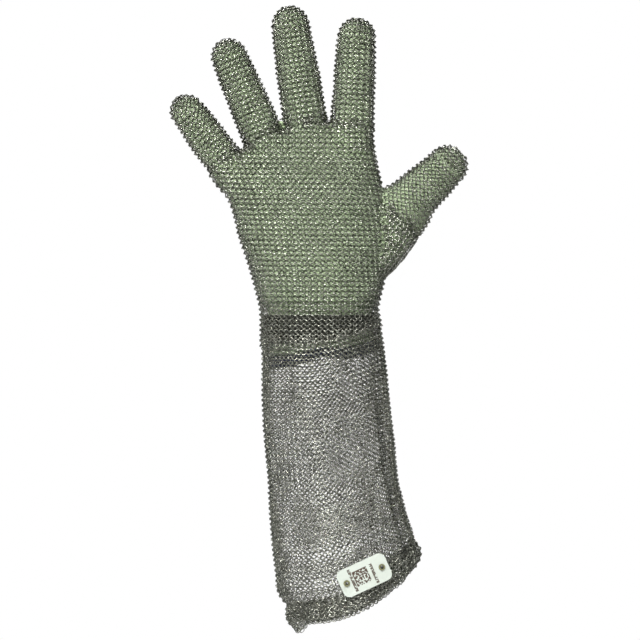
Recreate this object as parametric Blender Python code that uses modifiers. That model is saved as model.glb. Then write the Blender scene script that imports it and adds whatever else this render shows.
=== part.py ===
"""A long-cuffed ring-mesh safety glove over a knitted liner glove, for the left hand.

Metres, +Z towards the fingertips, +X towards the thumb, +Y out of the palm. The origin is the
middle of the cuff's opening, where the forearm goes in. The mesh and the liner are two layers of
shells. Each is cut where the hand bends, with a wedge left out on the side that closes.
"""

import math

import bmesh
import bpy
from mathutils import Matrix, Vector

MM = 0.001
TOUCH_GAP = 0.4  # mm, between pieces that touch

# Layers, mm
MESH_T = 1.6
LINER_T = 1.0
STRAP_T = 1.2
LINER_INSET = MESH_T + TOUCH_GAP
WRIST_LINER_INSET = LINER_INSET + STRAP_T + TOUCH_GAP
MESH_PASSAGE = 1.4  # the way from the hand into the thumb, this far inside the gusset's outside
LINER_PASSAGE = 3.5
PASSAGE_OVERRUN = 8.0

# Bending, degrees
FINGER_BASE_FLEX = 70
FINGER_TIP_FLEX = 80
THUMB_BASE_FLEX = 40
THUMB_TIP_FLEX = 60
WRIST_FLEX = 40
CLOSING_GAP = 0.8  # mm, kept between two pieces at full flex

# Fingers and thumb, mm: root and tip centre as (x, z), half widths at root, middle and tip,
# depth over width, where the second joint is as a share of the length, and y at root and tip
DIGITS = {
    "pinky": ((-82.0, 275.0), (-105.8, 306.4), (12.2, 11.9, 10.8), 0.90, 0.50, 0.5, 4.0),
    "ring": ((-57.4, 290.6), (-78.6, 341.0), (12.9, 12.4, 11.0), 0.90, 0.48, 0.0, 4.5),
    "middle": ((-30.6, 298.6), (-40.0, 361.0), (13.6, 13.0, 11.5), 0.90, 0.48, 0.0, 5.0),
    "index": ((-2.3, 297.4), (0.4, 354.0), (13.6, 12.2, 11.3), 0.90, 0.48, 0.0, 4.5),
    "thumb": ((26.0, 242.0), (60.6, 272.6), (14.4, 12.9, 11.5), 0.88, 0.50, 5.0, 9.0),
}
HINGE_ABOVE_ROOT = 1.5

# The hand from wrist to finger roots, mm: left edge (x, z), right edge (x, z), how far the line
# between them bows towards the fingers, and half depth
WRIST_Z = 183.0
HAND_ROWS = [
    ((-60.5, 184.0), (15.1, 184.0), 0.0, 26.0),
    ((-64.5, 199.5), (17.6, 199.5), 0.0, 25.0),
    ((-68.2, 213.0), (19.5, 213.0), 0.0, 23.4),
    ((-72.6, 226.0), (20.2, 226.0), 0.0, 21.8),
    ((-75.8, 239.0), (20.0, 239.0), 0.0, 20.2),
    ((-80.2, 250.5), (18.6, 251.5), 1.5, 18.6),
    ((-87.0, 258.0), (15.6, 272.0), 8.0, 16.6),
    ((-94.6, 265.0), (11.4, 293.5), 16.5, 14.4),
]
FINGER_ROOT_DROP = 2.0  # the hand's upper edge is this far below the finger roots
WRIST_X = -22.7
WRIST_WEDGE_SHARES = (1.0, 0.3)  # how much of the wrist's wedge the hand's first rings take
FINGER_WEDGE_EASE = 0.35  # how far the ring below the finger roots follows their wedge

# The thumb's gusset, mm: centre (x, z), y, direction (x, z), half width and half depth
GUSSET_ROWS = [
    ((-4.0, 199.0), 3.0, (0.30, 0.95), 15.0, 14.5),
    ((4.0, 213.5), 4.0, (0.45, 0.89), 20.0, 17.0),
    ((14.0, 229.0), 5.0, (0.63, 0.78), 19.3, 15.5),
    ((25.3, 241.4), 5.0, (0.753, 0.659), 15.4, 13.0),
]

# The cuff from wrist to hem, mm: z, left x, right x and half depth
CUFF_ROWS = [
    (183.0, -60.5, 15.1, 26.0),
    (168.8, -59.2, 17.0, 27.0),
    (150.0, -58.6, 19.5, 28.4),
    (124.7, -59.0, 22.0, 30.0),
    (99.5, -58.0, 24.6, 31.0),
    (74.3, -55.6, 27.1, 31.8),
    (55.4, -54.6, 31.3, 32.3),
    (36.5, -52.6, 36.6, 32.8),
    (16.0, -50.0, 38.6, 33.2),
    (-8.0, -47.5, 39.6, 33.4),
]
HEM_HALF = (41.6, 33.8)  # half width and half depth of the folded hem, centred on the opening
HEM_T = 3.6
HEM_LOW_Z = -16.0
HEM_RISE = 41.0  # how much higher the thumb side of the cuff's edge is
HEM_RISE_FROM, HEM_RISE_SPAN, HEM_RISE_POWER = -33.0, 75.0, 2.2
HEM_HEIGHT = 13.0
HEM_WIDENING = 4.0  # how much higher the hem itself is on the thumb side
HEM_SWELL = 0.8  # how far its middle stands out from its edges
HEM_CORNER_X, HEM_CORNER_WIDTH, HEM_CORNER_DROP = -38.0, 4.5, 6.0

SKIRT_LOW_Z = 159.4
SKIRT_RISE = 12.0  # the hand mesh's lower edge rises this much towards the thumb
SKIRT_RISE_FROM, SKIRT_RISE_SPAN, SKIRT_RISE_POWER = -30.0, 46.0, 1.5
STRAP_HIGH_Z = 178.3
STRAP_ABOVE_SKIRT_EDGE = 1.0
LINER_EDGE_Z = 150.0
LINER_EDGE_RISE = 12.0
LINER_RISE_FROM, LINER_RISE_SPAN, LINER_RISE_POWER = -58.0, 76.0, 2
BINDING_HEIGHT = 7.0
BINDING_T = 1.6
BINDING_PROUD = 0.3  # how far it stands out from the liner

# Tag, mm
TAG_SIZE = (33.0, 18.0, 1.2)
TAG_CORNER = 4.0
TAG_CENTRE = (5.7, 15.2)
TAG_LEAN = 24.7  # degrees, its long side against level
TAG_TURN = 5.0  # degrees, towards the thumb, as the cuff curves
TAG_HOLE_SPACING = 24.3
TAG_HOLE_R = 1.55
EYELET_BORE_R = 1.1
EYELET_R = 1.35
EYELET_FLANGE_R = 2.1
EYELET_FLANGE_T = 0.35
EYELET_LIFT = 0.3  # the flange above the plate's face

SIDES_DIGIT = 16
SIDES_GUSSET = 24
SIDES_HAND = 36
SIDES_HEM = 44
SQUARENESS = 2.3  # exponent of the sections, where 2 is an ellipse
# Rough middle and half depth of the cuff and half depth of a digit, for the first guess of where
# a ring with an uneven end lies
CUFF_GUESS_X = -20.0
CUFF_GUESS_DEPTH = 30.0
DIGIT_GUESS_DEPTH = 12.0

STEEL = ((0.30, 0.31, 0.29), 0.35, 1.0)
SAGE = ((0.28, 0.40, 0.24), 0.9, 0.0)
NAVY = ((0.012, 0.016, 0.035), 0.85, 0.0)
STRAP_DARK = ((0.03, 0.03, 0.022), 0.7, 0.0)
WHITE = ((0.82, 0.88, 0.80), 0.45, 0.0)
BRASS = ((0.33, 0.31, 0.20), 0.35, 1.0)


def clear_scene():
    for ob in list(bpy.data.objects):
        bpy.data.objects.remove(ob, do_unlink=True)


def new_collection(name):
    collection = bpy.data.collections.new(name)
    bpy.context.scene.collection.children.link(collection)
    return collection


def finish_material(ob, finish):
    colour, roughness, metallic = finish
    material = bpy.data.materials.new(ob.name + "_finish")
    material.use_nodes = True
    shader = material.node_tree.nodes["Principled BSDF"]
    shader.inputs["Base Color"].default_value = (*colour, 1.0)
    shader.inputs["Roughness"].default_value = roughness
    shader.inputs["Metallic"].default_value = metallic
    ob.data.materials.append(material)


def empty_at(name, collection, place, parent=None):
    """An empty on a joint's axis. Its children keep world coordinates."""
    empty = bpy.data.objects.new(name, None)
    empty.empty_display_size = 0.01
    empty.location = place
    collection.objects.link(empty)
    if parent:
        hang(empty, parent)
    return empty


def world_place(ob):
    """Where an object is, before the scene has been evaluated."""
    return ob.location if ob.parent is None else world_place(ob.parent) + ob.location


def hang(ob, parent):
    ob.parent = parent
    ob.location = ob.location - world_place(parent)


# Sections and lofts ---------------------------------------------------------------------------


def around(half_width, half_depth, sides):
    """The corners of a rounded section, as (across, deep)."""
    power = 2.0 / SQUARENESS
    points = []
    for k in range(sides):
        c, s = math.cos(2 * math.pi * k / sides), math.sin(2 * math.pi * k / sides)
        points.append((
            half_width * math.copysign(abs(c) ** power, c),
            half_depth * math.copysign(abs(s) ** power, s),
        ))
    return points


def loft(name, collection, rows, inset=0.0, close_start=False, close_end=False):
    """A surface through rows of points in mm, faces outwards, then moved inwards by the inset."""
    bm = bmesh.new()
    rings = [[bm.verts.new(Vector(p) * MM) for p in row] for row in rows]
    sides = len(rows[0])
    for low, high in zip(rings, rings[1:]):
        for k in range(sides):
            n = (k + 1) % sides
            bm.faces.new((low[k], low[n], high[n], high[k]))
    for ring, closed in ((rings[0], close_start), (rings[-1], close_end)):
        if closed:
            hub = bm.verts.new(sum((v.co for v in ring), Vector()) / sides)
            for k in range(sides):
                bm.faces.new((ring[k], ring[(k + 1) % sides], hub))
    bmesh.ops.recalc_face_normals(bm, faces=bm.faces)
    face_out(bm)
    bm.normal_update()
    inwards = [v.normal * -v.calc_shell_factor() for v in bm.verts]
    for v, direction in zip(bm.verts, inwards):
        v.co += direction * inset * MM
    mesh = bpy.data.meshes.new(name)
    bm.to_mesh(mesh)
    bm.free()
    mesh.shade_smooth()
    ob = bpy.data.objects.new(name, mesh)
    collection.objects.link(ob)
    return ob


def face_out(bm):
    """Turns an open or closed loft so that its faces point away from its middle."""
    middle = sum((v.co for v in bm.verts), Vector()) / len(bm.verts)
    outward = sum((f.calc_center_median() - middle).dot(f.normal) * f.calc_area() for f in bm.faces)
    if outward < 0:
        bmesh.ops.reverse_faces(bm, faces=bm.faces)


def thicken(ob, thickness):
    """Gives an open shell its wall, inwards from its outer surface."""
    shell = ob.modifiers.new("wall", "SOLIDIFY")
    shell.thickness = thickness * MM
    shell.offset = -1.0
    shell.use_even_offset = True
    shell.use_rim = True


def cut(ob, cutter):
    boolean = ob.modifiers.new("cut", "BOOLEAN")
    boolean.operation = "DIFFERENCE"
    boolean.solver = "EXACT"
    boolean.object = cutter
    cutter.hide_render = True
    cutter.display_type = "WIRE"


# The hand and the cuff ------------------------------------------------------------------------


def wrist_wedge(y):
    return abs(y) * math.tan(math.radians(WRIST_FLEX / 2))


def hand_rows():
    """The hand's rings, with the wedge left out at the wrist and below the finger roots."""
    rows = []
    last = len(HAND_ROWS) - 1
    for i, (left, right, bow, depth) in enumerate(HAND_ROWS):
        half = (right[0] - left[0]) / 2
        centre = (right[0] + left[0]) / 2
        row = []
        for x, y in around(half, depth, SIDES_HAND):
            u = x / half
            z = (left[1] + right[1]) / 2 + u * (right[1] - left[1]) / 2 + bow * (1 - u * u)
            if i < len(WRIST_WEDGE_SHARES):
                z += wrist_wedge(y) * WRIST_WEDGE_SHARES[i]
            if i == last:
                z -= FINGER_ROOT_DROP + max(0.0, y) * math.tan(math.radians(FINGER_BASE_FLEX / 2))
            if i == last - 1:
                z -= max(0.0, y) * FINGER_WEDGE_EASE
            row.append((centre + x, y, z))
        rows.append(row)
    return rows


def gusset_rows(overrun=0.0):
    """The thumb gusset's rings, the last with a wedge left out, or run straight past its end."""
    rows = []
    wedge = math.tan(math.radians(THUMB_BASE_FLEX / 2))
    for i, (centre, y0, along, half, depth) in enumerate(GUSSET_ROWS):
        along = Vector((along[0], 0.0, along[1])).normalized()
        across = Vector((along.z, 0.0, -along.x))
        row = []
        for x, y in around(half, depth, SIDES_GUSSET):
            p = Vector((centre[0], y0 + y, centre[1])) + across * x
            if i == len(GUSSET_ROWS) - 1:
                p += along * (overrun or -max(0.0, y) * wedge)
            row.append(tuple(p))
        rows.append(row)
    return rows


def between(rows, z):
    """Left, right and half depth of the cuff at a height."""
    for high, low in zip(rows, rows[1:]):
        if z >= low[0]:
            break
    f = min(1.0, max(0.0, (z - low[0]) / (high[0] - low[0])))
    return [low[k] + f * (high[k] - low[k]) for k in (1, 2, 3)]


def cuff_rows(heights):
    """Rings of the cuff. Each height is a function of x and y."""
    rows = []
    for height in heights:
        left, right, _ = between(CUFF_ROWS, height(CUFF_GUESS_X, 0.0))
        middle = (left + right) / 2
        row = []
        for x, y in around(1.0, 1.0, SIDES_HAND):
            z = height(middle + x * (right - left) / 2, y * CUFF_GUESS_DEPTH)
            near_left, near_right, depth = between(CUFF_ROWS, z)
            half = (near_right - near_left) / 2
            row.append(((near_left + near_right) / 2 + x * half, y * depth, z))
        rows.append(row)
    return rows


def share_across(x):
    """0 at the little finger's side of the cuff's edge, 1 at the thumb's."""
    return max(0.0, (x - HEM_RISE_FROM) / HEM_RISE_SPAN)


def hem_low(x):
    return HEM_LOW_Z + HEM_RISE * share_across(x) ** HEM_RISE_POWER


def hem_high(x):
    return hem_low(x) + HEM_HEIGHT + HEM_WIDENING * share_across(x)


def skirt_low(x):
    share = max(0.0, (x - SKIRT_RISE_FROM) / SKIRT_RISE_SPAN)
    return SKIRT_LOW_Z + SKIRT_RISE * share**SKIRT_RISE_POWER


def liner_low(x):
    share = max(0.0, (x - LINER_RISE_FROM) / LINER_RISE_SPAN)
    return LINER_EDGE_Z + LINER_EDGE_RISE * share**LINER_RISE_POWER


def steps(low, high, count):
    """Heights from one function of (x, y) to another, as functions."""
    return [
        lambda x, y, f=i / count: low(x, y) + f * (high(x, y) - low(x, y)) for i in range(count + 1)
    ]


def wrist_top(y):
    return WRIST_Z - CLOSING_GAP - wrist_wedge(y)


def make_cuff_sleeve(collection):
    rows = cuff_rows(
        steps(lambda x, y: hem_high(x) + TOUCH_GAP, lambda x, y: skirt_low(x) - TOUCH_GAP, 9)
    )
    ob = loft("cuff_sleeve_mesh", collection, rows)
    thicken(ob, MESH_T)
    finish_material(ob, STEEL)
    return ob


def hem_corner(x):
    """How much lower the corner hangs."""
    return HEM_CORNER_DROP * math.exp(-(((x - HEM_CORNER_X) / HEM_CORNER_WIDTH) ** 2))


def make_cuff_hem(collection):
    """The folded double edge of the cuff, which hangs lowest at one corner."""
    rows = []
    for f in (0.0, 0.5, 1.0):
        row = []
        inward = HEM_SWELL * (1 - math.sin(math.pi * f))
        for x, y in around(HEM_HALF[0] - inward, HEM_HALF[1] - inward, SIDES_HEM):
            low, high = hem_low(x) - hem_corner(x) * (y < 0), hem_high(x)
            row.append((x, y, low + f * (high - low)))
        rows.append(row)
    ob = loft("cuff_hem_mesh", collection, rows)
    thicken(ob, HEM_T)
    finish_material(ob, STEEL)
    return ob


def make_wrist_skirt(collection):
    rows = cuff_rows(steps(lambda x, y: skirt_low(x), lambda x, y: wrist_top(y), 2))
    ob = loft("wrist_skirt_mesh", collection, rows)
    thicken(ob, MESH_T)
    finish_material(ob, STEEL)
    return ob


def make_wrist_strap(collection):
    rows = cuff_rows(
        steps(
            lambda x, y: skirt_low(x) + STRAP_ABOVE_SKIRT_EDGE,
            lambda x, y: min(STRAP_HIGH_Z, wrist_top(y)),
            2,
        )
    )
    ob = loft("wrist_strap", collection, rows, LINER_INSET)
    thicken(ob, STRAP_T)
    finish_material(ob, STRAP_DARK)
    return ob


def make_liner_wrist(collection):
    rows = cuff_rows(steps(lambda x, y: liner_low(x), lambda x, y: wrist_top(y), 3))
    ob = loft("liner_wrist", collection, rows, WRIST_LINER_INSET)
    thicken(ob, LINER_T)
    finish_material(ob, SAGE)
    return ob


def make_liner_binding(collection):
    rows = cuff_rows(
        steps(
            lambda x, y: liner_low(x) - TOUCH_GAP - BINDING_HEIGHT,
            lambda x, y: liner_low(x) - TOUCH_GAP,
            1,
        )
    )
    ob = loft("liner_edge_binding", collection, rows, WRIST_LINER_INSET - BINDING_PROUD)
    thicken(ob, BINDING_T)
    finish_material(ob, NAVY)
    return ob


def make_hand_layer(collection, cutters, names, inset, wall, passage_inset, finish):
    """The hand shell and the thumb gusset of one layer, open to each other."""
    hand = loft(names[0], collection, hand_rows(), inset)
    thicken(hand, wall)
    through = gusset_rows(overrun=PASSAGE_OVERRUN)
    passage = loft(names[1] + "_passage", cutters, through, passage_inset, True, True)
    cut(hand, passage)
    gusset = loft(names[1], collection, gusset_rows(), inset)
    thicken(gusset, wall)
    body = loft(names[0] + "_outside", cutters, hand_rows(), inset - TOUCH_GAP, True, True)
    cut(gusset, body)
    for ob in (hand, gusset):
        finish_material(ob, finish)
    return [hand, gusset]


# Fingers and thumb ----------------------------------------------------------------------------


class Digit:
    """One finger's centre line, sections and hinges, in mm."""

    def __init__(self, name):
        root, tip, self.halves, self.flat, self.split, y_root, y_tip = DIGITS[name]
        self.root = Vector((root[0], y_root, root[1]))
        end = Vector((tip[0], y_root, tip[1]))
        self.reach = (end - self.root).length
        self.along = (end - self.root).normalized()
        self.across = Vector((self.along.z, 0.0, -self.along.x))
        self.rise = y_tip - y_root
        self.length = self.reach + self.halves[2]
        thumb = name == "thumb"
        self.flex = (
            (THUMB_BASE_FLEX, THUMB_TIP_FLEX) if thumb else (FINGER_BASE_FLEX, FINGER_TIP_FLEX)
        )

    def middle(self, s):
        f = s / self.length
        return self.root + self.along * s + Vector((0.0, self.rise * f * f, 0.0))

    def half(self, s):
        root, middle, tip = self.halves
        f = min(1.0, max(0.0, s / self.reach))
        return root + (middle - root) * 2 * f if f < 0.5 else middle + (tip - middle) * (2 * f - 1)

    def hinge_s(self, joint):
        return (HINGE_ABOVE_ROOT, self.split * self.length)[joint]

    def hinge(self, joint):
        return self.middle(self.hinge_s(joint))

    def point(self, s, x, y):
        return tuple(self.middle(s) + self.across * x + Vector((0.0, y, 0.0)))

    def wedge(self, joint, y):
        return max(0.0, y) * math.tan(math.radians(self.flex[joint] / 2))

    def barrel(self, low, high, count):
        """Rings between two ends, each end a function of y."""
        rows = []
        for i in range(count + 1):
            f = i / count
            row = []
            for x, y in around(1.0, self.flat, SIDES_DIGIT):
                deep = y * DIGIT_GUESS_DEPTH
                half = self.half(low(deep) + f * (high(deep) - low(deep)))
                s = low(y * half) + f * (high(y * half) - low(y * half))
                row.append(self.point(s, x * half, y * half))
            rows.append(row)
        return rows

    def dome(self, turns=(28, 52, 72)):
        rows = []
        tip = self.halves[2]
        for angle in turns:
            angle = math.radians(angle)
            row = [
                self.point(self.reach + tip * math.sin(angle), x * tip, y * tip)
                for x, y in around(math.cos(angle), math.cos(angle) * self.flat, SIDES_DIGIT)
            ]
            rows.append(row)
        return rows

    def base_rows(self):
        return self.barrel(
            lambda y: self.hinge_s(0) + CLOSING_GAP / 2 + self.wedge(0, y),
            lambda y: self.hinge_s(1) - CLOSING_GAP / 2 - self.wedge(1, y),
            3,
        )

    def tip_rows(self):
        barrel = self.barrel(
            lambda y: self.hinge_s(1) + CLOSING_GAP / 2 + self.wedge(1, y), lambda y: self.reach, 3
        )
        return barrel + self.dome()


def make_digit(name, collection, hand_empty):
    """A digit's two segments in both layers, hung from empties on their hinges."""
    digit = Digit(name)
    base = empty_at(name + "_base_hinge", collection, digit.hinge(0) * MM, hand_empty)
    tip = empty_at(name + "_tip_hinge", collection, digit.hinge(1) * MM, base)
    layers = (("{}_{}_mesh", 0.0, MESH_T, STEEL), ("liner_{}_{}", LINER_INSET, LINER_T, SAGE))
    for pattern, inset, wall, finish in layers:
        lower = loft(pattern.format(name, "base"), collection, digit.base_rows(), inset)
        upper = loft(
            pattern.format(name, "tip"), collection, digit.tip_rows(), inset, close_end=True
        )
        for ob, empty in ((lower, base), (upper, tip)):
            thicken(ob, wall)
            finish_material(ob, finish)
            hang(ob, empty)


# Tag ------------------------------------------------------------------------------------------


def tag_matrix():
    """Turns flat work in X and Y, facing +Z, to the tag's place on the back of the cuff."""
    upright = Matrix.Rotation(math.radians(90), 4, "X")
    lean = Matrix.Rotation(math.radians(TAG_LEAN), 4, "Z")
    turn = Matrix.Rotation(math.radians(TAG_TURN), 4, "Z")
    front = -(HEM_HALF[1] + TOUCH_GAP + TAG_SIZE[2])
    place = Matrix.Translation(Vector((TAG_CENTRE[0], front, TAG_CENTRE[1])) * MM)
    return place @ turn @ upright @ lean


def make_tag_plate(collection, cutters):
    """A flat plate with round corners and a hole near each end. Its face is at z = 0."""
    outline = bpy.data.curves.new("tag_outline", "CURVE")
    outline.dimensions = "2D"
    outline.fill_mode = "BOTH"
    outline.extrude = TAG_SIZE[2] / 2 * MM
    spline = outline.splines.new("POLY")
    half = (TAG_SIZE[0] / 2 - TAG_CORNER, TAG_SIZE[1] / 2 - TAG_CORNER)
    corners = [(1, 1, 0), (-1, 1, 90), (-1, -1, 180), (1, -1, 270)]
    points = [
        (
            sx * half[0] + TAG_CORNER * math.cos(math.radians(start + turn)),
            sy * half[1] + TAG_CORNER * math.sin(math.radians(start + turn)),
        )
        for sx, sy, start in corners
        for turn in (0, 22.5, 45, 67.5, 90)
    ]
    spline.points.add(len(points) - 1)
    for point, (x, y) in zip(spline.points, points):
        point.co = (x * MM, y * MM, -TAG_SIZE[2] / 2 * MM, 1.0)
    spline.use_cyclic_u = True
    drawn = bpy.data.objects.new("tag_outline", outline)
    collection.objects.link(drawn)
    bpy.context.view_layer.update()
    evaluated = drawn.evaluated_get(bpy.context.evaluated_depsgraph_get())
    mesh = bpy.data.meshes.new_from_object(evaluated)
    bpy.data.objects.remove(drawn, do_unlink=True)
    bm = bmesh.new()
    bm.from_mesh(mesh)
    bmesh.ops.remove_doubles(bm, verts=bm.verts, dist=1e-6)
    bmesh.ops.recalc_face_normals(bm, faces=bm.faces)
    bm.to_mesh(mesh)
    bm.free()
    plate = bpy.data.objects.new("tag_plate", mesh)
    collection.objects.link(plate)
    plate.matrix_world = tag_matrix()
    for side in (-1, 1):
        cut(plate, make_tag_drill(cutters, side))
    finish_material(plate, WHITE)
    return plate


def make_tag_drill(cutters, side):
    bm = bmesh.new()
    bmesh.ops.create_cone(
        bm, cap_ends=True, segments=24, radius1=TAG_HOLE_R * MM, radius2=TAG_HOLE_R * MM,
        depth=4 * TAG_SIZE[2] * MM,
    )
    mesh = bpy.data.meshes.new("tag_drill")
    bm.to_mesh(mesh)
    bm.free()
    drill = bpy.data.objects.new("tag_drill", mesh)
    cutters.objects.link(drill)
    drill.matrix_world = tag_matrix() @ Matrix.Translation((side * TAG_HOLE_SPACING / 2 * MM, 0, 0))
    return drill


def make_eyelet(collection, name, side):
    """A turned eyelet: a flange on the plate's face and a barrel through it."""
    profile = [
        (EYELET_FLANGE_R, EYELET_LIFT + EYELET_FLANGE_T),
        (EYELET_FLANGE_R, EYELET_LIFT),
        (EYELET_R, EYELET_LIFT),
        (EYELET_R, -TAG_SIZE[2]),
        (EYELET_BORE_R, -TAG_SIZE[2]),
        (EYELET_BORE_R, EYELET_LIFT + EYELET_FLANGE_T),
    ]
    bm = bmesh.new()
    verts = [bm.verts.new((r * MM, 0.0, z * MM)) for r, z in profile]
    for a, b in zip(verts, verts[1:] + verts[:1]):
        bm.edges.new((a, b))
    mesh = bpy.data.meshes.new(name)
    bm.to_mesh(mesh)
    bm.free()
    ob = bpy.data.objects.new(name, mesh)
    collection.objects.link(ob)
    screw = ob.modifiers.new("turned", "SCREW")
    screw.steps = 24
    screw.render_steps = 24
    screw.use_merge_vertices = True
    screw.merge_threshold = 1e-5
    ob.matrix_world = tag_matrix() @ Matrix.Translation((side * TAG_HOLE_SPACING / 2 * MM, 0, 0))
    finish_material(ob, BRASS)
    return ob


# The whole glove ------------------------------------------------------------------------------


def build_glove():
    clear_scene()
    glove = new_collection("mesh_glove")
    cutters = new_collection("cutters")
    for make in (
        make_cuff_sleeve,
        make_cuff_hem,
        make_wrist_skirt,
        make_wrist_strap,
        make_liner_wrist,
        make_liner_binding,
    ):
        make(glove)
    make_tag_plate(glove, cutters)
    make_eyelet(glove, "tag_eyelet_left", -1)
    make_eyelet(glove, "tag_eyelet_right", 1)
    hand_empty = empty_at("wrist_hinge", glove, Vector((WRIST_X, 0.0, WRIST_Z)) * MM)
    mesh_names = ("palm_mesh", "thumb_gusset_mesh")
    liner_names = ("liner_palm", "liner_thumb_gusset")
    hand = make_hand_layer(glove, cutters, mesh_names, 0.0, MESH_T, MESH_PASSAGE, STEEL)
    hand += make_hand_layer(
        glove, cutters, liner_names, LINER_INSET, LINER_T, LINER_PASSAGE, SAGE
    )
    for ob in hand:
        hang(ob, hand_empty)
    for name in DIGITS:
        make_digit(name, glove, hand_empty)


build_glove()
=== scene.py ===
"""Looks of the ring-mesh glove: welded steel rings in a four-in-one weave over a knitted liner.

Lengths below are in mm unless a name says otherwise, and new_mesh() turns them into metres. The
driving tables follow the CAD model's, and are a few mm fuller at the thumb, its gusset and the
hem. +Z is towards the fingertips, +X towards the thumb and +Y out of the palm, so the back of
the hand faces -Y, where the camera is.
"""

import math

import bmesh
import bpy
import numpy as np
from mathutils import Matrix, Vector, noise
from mathutils.bvhtree import BVHTree
from mathutils.kdtree import KDTree


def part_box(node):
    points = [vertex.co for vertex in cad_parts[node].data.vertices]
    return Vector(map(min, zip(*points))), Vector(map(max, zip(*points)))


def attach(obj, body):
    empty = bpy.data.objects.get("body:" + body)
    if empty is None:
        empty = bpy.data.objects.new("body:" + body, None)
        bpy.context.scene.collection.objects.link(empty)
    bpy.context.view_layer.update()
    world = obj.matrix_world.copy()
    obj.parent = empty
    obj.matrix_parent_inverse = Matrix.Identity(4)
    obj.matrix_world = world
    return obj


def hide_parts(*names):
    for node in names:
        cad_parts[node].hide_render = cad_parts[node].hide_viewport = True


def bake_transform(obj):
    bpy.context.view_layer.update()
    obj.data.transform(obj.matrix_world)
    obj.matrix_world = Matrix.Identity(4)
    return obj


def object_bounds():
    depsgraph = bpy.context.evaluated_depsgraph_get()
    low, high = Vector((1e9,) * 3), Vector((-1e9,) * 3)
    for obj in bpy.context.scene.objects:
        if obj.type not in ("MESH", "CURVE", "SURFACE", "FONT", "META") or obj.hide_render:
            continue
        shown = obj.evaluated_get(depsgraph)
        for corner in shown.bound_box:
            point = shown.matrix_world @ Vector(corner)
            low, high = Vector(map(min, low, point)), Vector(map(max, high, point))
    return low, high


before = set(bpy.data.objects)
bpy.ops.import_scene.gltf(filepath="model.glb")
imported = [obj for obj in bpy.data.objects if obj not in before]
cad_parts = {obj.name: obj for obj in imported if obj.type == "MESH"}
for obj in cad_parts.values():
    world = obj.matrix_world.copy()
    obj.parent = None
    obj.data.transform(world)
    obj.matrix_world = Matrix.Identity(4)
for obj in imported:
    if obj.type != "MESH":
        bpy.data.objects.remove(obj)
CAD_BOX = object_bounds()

MM = 0.001

# Rings
RING_OUTER = 3.76
WIRE = 0.57
RING_SIDES = 12
WIRE_SIDES = 4
RING_PITCH = 3.85    # between rings of one row
ROW_PITCH = 1.61    # between rows
RING_LEAN = 36.0    # degrees, one row up and the next row down
CUFF_LEAN = 0.80    # the cuff's and hem's rings lean this share of it
RING_DEPTH = 1.05    # ring centres lie this far inside the mesh's outside
LEAN_JITTER = 5.0    # degrees
PLACE_JITTER = 0.09
CROWDED = 1.15    # a ring closer than this to another panel's ring is left out
FULLNESS = 0.5    # the form is this much fuller than its lofts, which the remesh shrinks
VOXEL = 1.25
SOFTENING_ROUNDS = 7
SOFTENING = 0.5
LUMP_SPACING = 17.0
LUMP_HEIGHT = 0.7

# The hand from wrist to finger roots: left edge (x, z), right edge (x, z), how far the line
# between them bows towards the fingers, and half depth
HAND_ROWS = [
    ((-60.5, 184.0), (15.1, 184.0), 0.0, 26.0),
    ((-64.5, 199.5), (19.0, 199.5), 0.0, 25.0),
    ((-68.2, 213.0), (19.5, 213.0), 0.0, 23.4),
    ((-72.6, 226.0), (20.2, 226.0), 0.0, 21.8),
    ((-75.8, 239.0), (20.0, 239.0), 0.0, 20.2),
    ((-80.2, 250.5), (18.6, 251.5), 1.5, 18.6),
    ((-86.0, 258.0), (15.0, 272.0), 8.0, 15.8),
    ((-92.4, 266.0), (11.0, 293.5), 16.5, 12.2),
]
# Root and tip centre as (x, z), half widths at root, middle and tip, depth over width, where the
# second joint is as a share of the length, and y at root and tip
DIGITS = {
    "pinky": ((-82.0, 275.0), (-105.8, 306.4), (12.2, 11.9, 10.8), 0.90, 0.50, 0.5, 4.0),
    "ring": ((-57.9, 290.6), (-79.1, 341.0), (13.2, 12.8, 11.4), 0.90, 0.48, 0.0, 4.5),
    "middle": ((-31.1, 298.6), (-40.6, 361.0), (13.9, 13.4, 12.0), 0.90, 0.48, 0.0, 5.0),
    "index": ((-1.8, 297.4), (1.1, 354.0), (13.8, 12.9, 11.9), 0.90, 0.48, 0.0, 4.5),
    "thumb": ((26.4, 241.6), (58.4, 272.5), (17.3, 14.8, 12.8), 0.84, 0.50, 5.0, 9.0),
}
# The thumb's gusset: centre (x, z), y, direction (x, z), half width and half depth
GUSSET_ROWS = [
    ((-4.0, 199.0), 3.0, (0.30, 0.95), 15.0, 14.5),
    ((4.0, 213.5), 4.0, (0.45, 0.89), 20.0, 17.0),
    ((14.0, 229.0), 5.0, (0.63, 0.78), 22.8, 15.5),
    ((25.3, 240.4), 5.0, (0.753, 0.659), 20.2, 13.0),
]
# How it runs out inside the thumb
GUSSET_END_ROWS = [
    ((36.6, 249.8), 5.2, (0.74, 0.67), 16.4, 11.6),
    ((42.0, 256.4), 5.8, (0.72, 0.69), 12.6, 9.6),
]
# The cuff from wrist to hem: z, left x, right x and half depth
CUFF_ROWS = [
    (183.0, -60.5, 15.1, 26.0),
    (168.8, -59.2, 17.0, 27.0),
    (150.0, -58.6, 19.5, 28.4),
    (124.7, -59.0, 22.0, 30.0),
    (99.5, -58.0, 24.6, 31.0),
    (74.3, -55.6, 27.1, 31.8),
    (55.4, -54.6, 32.2, 32.3),
    (36.5, -52.6, 38.0, 32.8),
    (16.0, -50.0, 40.2, 33.2),
    (3.0, -48.6, 40.2, 33.2),
    (-9.0, -40.5, 39.5, 32.6),
]
SQUARENESS = 2.3    # exponent of the sections, where 2 is an ellipse

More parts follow.
